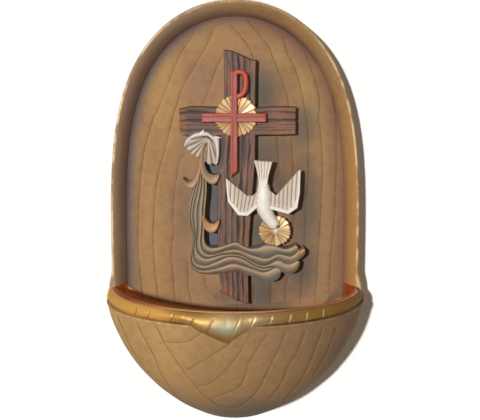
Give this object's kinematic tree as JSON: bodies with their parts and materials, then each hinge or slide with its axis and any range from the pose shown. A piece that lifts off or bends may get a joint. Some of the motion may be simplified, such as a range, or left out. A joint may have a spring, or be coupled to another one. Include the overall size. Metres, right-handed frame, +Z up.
{
  "type": "holy water stoup",
  "caption": "Wall-hung holy water stoup: arched niche board with a half bowl, gilded rim bead, copper liner and carved relief of cross, shell, water and dove, hung on a keyhole plate.",
  "frame": {"origin": "point on the flat back, on the centre line, level with the rim of the basin", "axes": "+X to the right seen from the front, +Y into the wall, +Z up"},
  "size_m": [0.1258, 0.0619, 0.2035],
  "materials": {
    "painted_wood": "matt ochre stain over carved wood, darker in the hollows",
    "gilding": "rubbed gold paint",
    "copper_leaf": "copper-coloured metal paint, satin",
    "weathered_wood": "dark stained rough wood",
    "host_gold": "pale gold paint with brown wash in the folds",
    "red_paint": "matt red paint",
    "shell_paint": "off-white paint with a tan wash",
    "water_paint": "ochre crests over slate-grey hollows",
    "dove_paint": "white paint with tan feather lines",
    "dowel_wood": "plain beech",
    "zinc_steel": "zinc plated"
  },
  "bodies": {
    "root": {"back_board": "painted_wood", "bowl_shell": "painted_wood", "rim_bead": "gilding", "basin_liner": "copper_leaf", "cross_upright": "weathered_wood", "cross_arm": "weathered_wood", "upper_host": "host_gold", "rho_cross": "red_paint", "scallop_shell": "shell_paint", "water_stream": "water_paint", "dove": "dove_paint", "lower_host": "host_gold", "cross_pins": "dowel_wood", "dove_peg": "dowel_wood", "host_peg": "dowel_wood", "bowl_dowels": "dowel_wood", "bowl_screws": "zinc_steel", "hanger_plate": "zinc_steel", "hanger_screws": "zinc_steel"}
  },
  "joints": []
}
